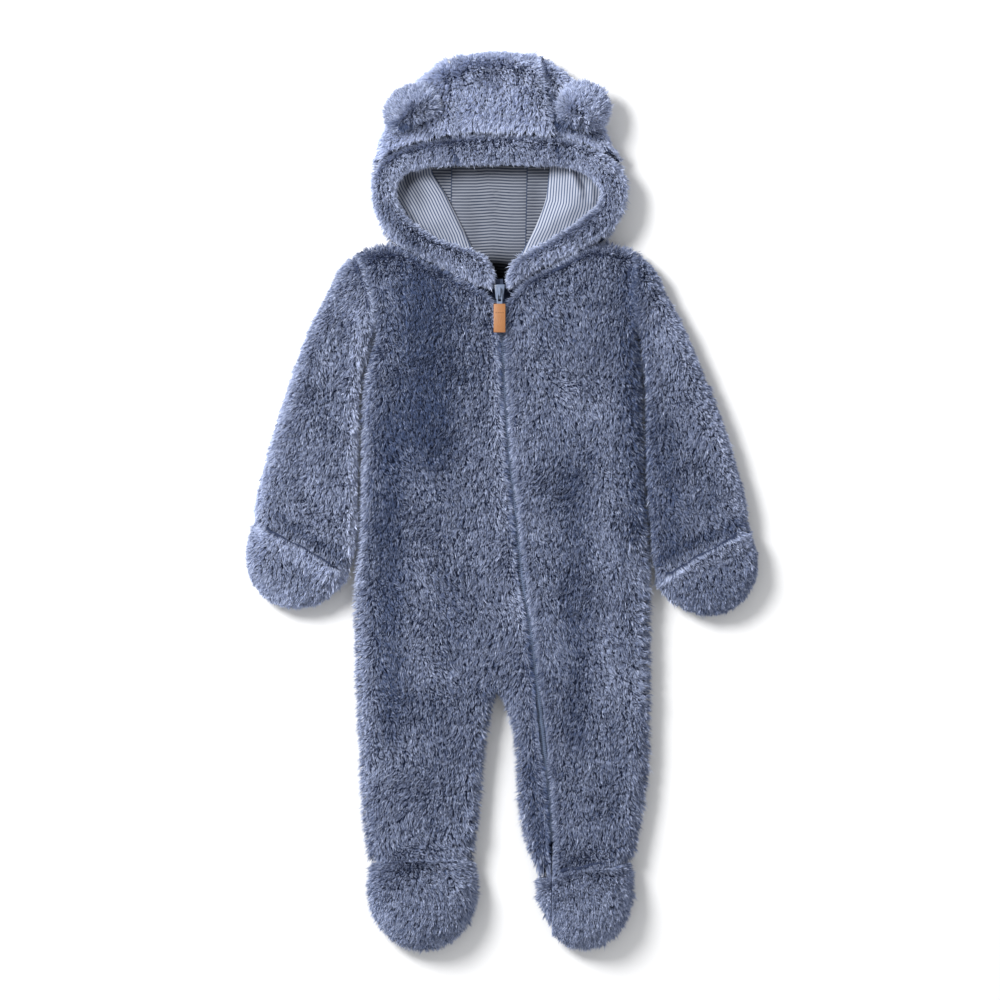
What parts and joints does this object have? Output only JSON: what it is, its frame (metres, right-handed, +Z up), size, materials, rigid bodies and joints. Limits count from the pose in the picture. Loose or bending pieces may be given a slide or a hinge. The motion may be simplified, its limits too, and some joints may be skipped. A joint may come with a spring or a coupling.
{
  "type": "sherpa pramsuit",
  "caption": "Footed baby pramsuit in long blue pile cloth, laid flat and zipped: hood with round ears and striped lining, fold-over hand covers, slanting front zip with a leather pull.",
  "frame": {"origin": "on the floor, under the middle of the garment's box as it lies flat on its back", "axes": "+Y from the feet to the hood, +X the wearer's left, +Z up out of the front"},
  "size_m": [0.4101, 0.7182, 0.0461],
  "materials": {
    "pile": "long blue-grey pile cloth, matt with a soft sheen at the tips",
    "lining": "fine striped jersey, matt",
    "zip_tape": "woven tape with a coil of moulded teeth",
    "zip_metal": "satin enamel over die-cast metal",
    "leather": "smooth tan leather with a pressed edge"
  },
  "bodies": {
    "suit": {"back": "pile", "front_right": "pile", "front_left": "pile", "sleeve_right": "pile", "sleeve_left": "pile", "mitt_right": "pile", "mitt_left": "pile", "vamp_right": "pile", "sole_right": "pile", "vamp_left": "pile", "sole_left": "pile", "hood_centre": "pile", "hood_side_right": "pile", "hood_side_left": "pile", "hood_brim": "pile", "ear_right": "pile", "ear_left": "pile", "lining_back": "lining", "lining_right": "lining", "lining_left": "lining", "zip_tape_right": "zip_tape", "zip_tape_left": "zip_tape", "zip_slider": "zip_metal"},
    "pull": {"zip_puller": "zip_metal", "zip_tab": "leather"}
  },
  "joints": [
    {"name": "pull_hinge", "type": "hinge", "parent": "suit", "child": "pull", "pos_m": [-0.00034, 0.1638, 0.02569], "axis": [-1, 0, 0], "range_deg": [0, 150]}
  ]
}
